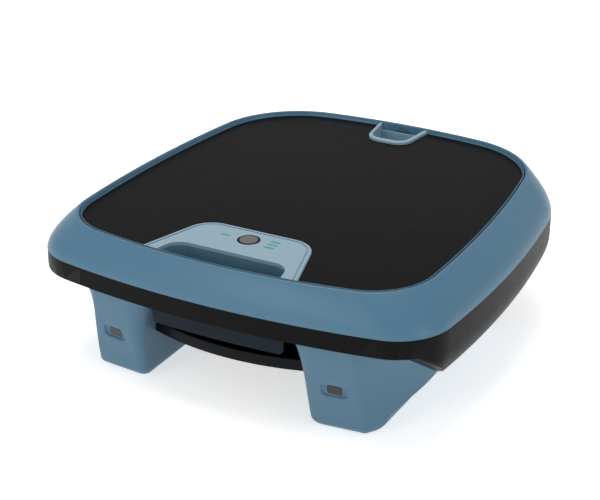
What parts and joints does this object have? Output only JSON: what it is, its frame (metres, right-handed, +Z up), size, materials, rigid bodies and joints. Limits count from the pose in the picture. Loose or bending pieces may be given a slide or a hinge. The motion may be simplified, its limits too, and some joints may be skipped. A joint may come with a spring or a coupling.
{
  "type": "solar pool surface skimmer",
  "caption": "Solar-powered floating skimmer with a framed panel deck, twin keels, a front intake under a hinged flap, ducted propellers and a rear debris tray that slides out.",
  "frame": {"origin": "middle of the footprint, on the surface that the two keels stand on", "axes": "+Z up, mouth towards -Y, debris tray pulls out towards +Y"},
  "size_m": [0.381, 0.3853, 0.134],
  "materials": {
    "shell_blue": "satin painted shell",
    "panel_glass": "smooth dark tempered glass over cells",
    "cells": "matt laminate",
    "console_grey": "satin",
    "cup_blue": "satin",
    "hull_black": "satin",
    "keel_grey": "satin",
    "navy": "satin",
    "black_plastic": "satin",
    "rubber": "matt",
    "button_grey": "satin",
    "light_teal": "translucent light pipe",
    "board_green": "solder mask",
    "lens_dark": "smooth",
    "steel": "brushed",
    "cell_wrap": "shrink wrap",
    "foam": "closed-cell foam",
    "mesh": "fine woven mesh"
  },
  "bodies": {
    "hull": {"top_shell": "shell_blue", "solar_glass": "panel_glass", "cell_laminate": "cells", "panel_gasket": "rubber", "console_deck": "console_grey", "grip_cup": "cup_blue", "button_bezel": "black_plastic", "button_dome": "rubber", "status_light": "light_teal", "charge_lights": "light_teal", "console_board": "board_green", "rear_grip": "console_grey", "lower_hull": "hull_black", "hull_seal": "rubber", "shell_screws": "steel", "tray_tunnel": "hull_black", "keel_right": "keel_grey", "keel_left": "keel_grey", "keel_screws": "steel", "keel_pad_right": "rubber", "keel_pad_left": "rubber", "ballast_right": "steel", "ballast_left": "steel", "sensor_window_right": "lens_dark", "sensor_window_left": "lens_dark", "sensor_right": "black_plastic", "sensor_left": "black_plastic", "intake_lintel": "keel_grey", "flap_pin": "steel", "intake_scoop": "black_plastic", "motor_right": "steel", "motor_left": "steel", "shaft_seal_right": "rubber", "shaft_seal_left": "rubber", "duct_right": "black_plastic", "duct_left": "black_plastic", "battery_case": "black_plastic", "battery_lid": "black_plastic", "battery_cells": "cell_wrap", "control_box": "black_plastic", "control_lid": "black_plastic", "main_board": "board_green", "foam_float_right": "foam", "foam_float_left": "foam", "charge_port": "black_plastic"},
    "power_button": {"power_button": "button_grey"},
    "intake_flap": {"intake_flap": "navy"},
    "debris_tray": {"debris_tray": "navy", "tray_side_right": "navy", "tray_side_left": "navy", "tray_mesh_floor": "mesh", "tray_mesh_right": "mesh", "tray_mesh_left": "mesh", "tray_cover": "hull_black", "tray_pull": "keel_grey"},
    "propeller_right": {"propeller_right": "black_plastic", "shaft_right": "steel"},
    "propeller_left": {"propeller_left": "black_plastic", "shaft_left": "steel"},
    "charge_cap": {"charge_cap": "rubber"}
  },
  "joints": [
    {"name": "power_press", "type": "slide", "parent": "hull", "child": "power_button", "axis": [0, 0, -1], "range_m": [0, 0.0012], "stiffness_N_per_m": 600, "springref_m": -0.0008},
    {"name": "flap_swing", "type": "hinge", "parent": "hull", "child": "intake_flap", "pos_m": [0, -0.1743, 0.085], "axis": [1, 0, 0], "range_deg": [0, 80]},
    {"name": "tray_pull_out", "type": "slide", "parent": "hull", "child": "debris_tray", "axis": [0, 1, 0], "range_m": [0, 0.3]},
    {"name": "propeller_right_spin", "type": "hinge", "parent": "hull", "child": "propeller_right", "pos_m": [0.104, 0.109, 0.023], "axis": [0, 1, 0], "continuous": true},
    {"name": "propeller_left_spin", "type": "hinge", "parent": "hull", "child": "propeller_left", "pos_m": [-0.104, 0.109, 0.023], "axis": [0, 1, 0], "continuous": true},
    {"name": "charge_cap_open", "type": "hinge", "parent": "hull", "child": "charge_cap", "pos_m": [-0.10652, 0.18274, 0.0966], "axis": [0.9511, 0.309, 0], "range_deg": [0, 100]}
  ]
}
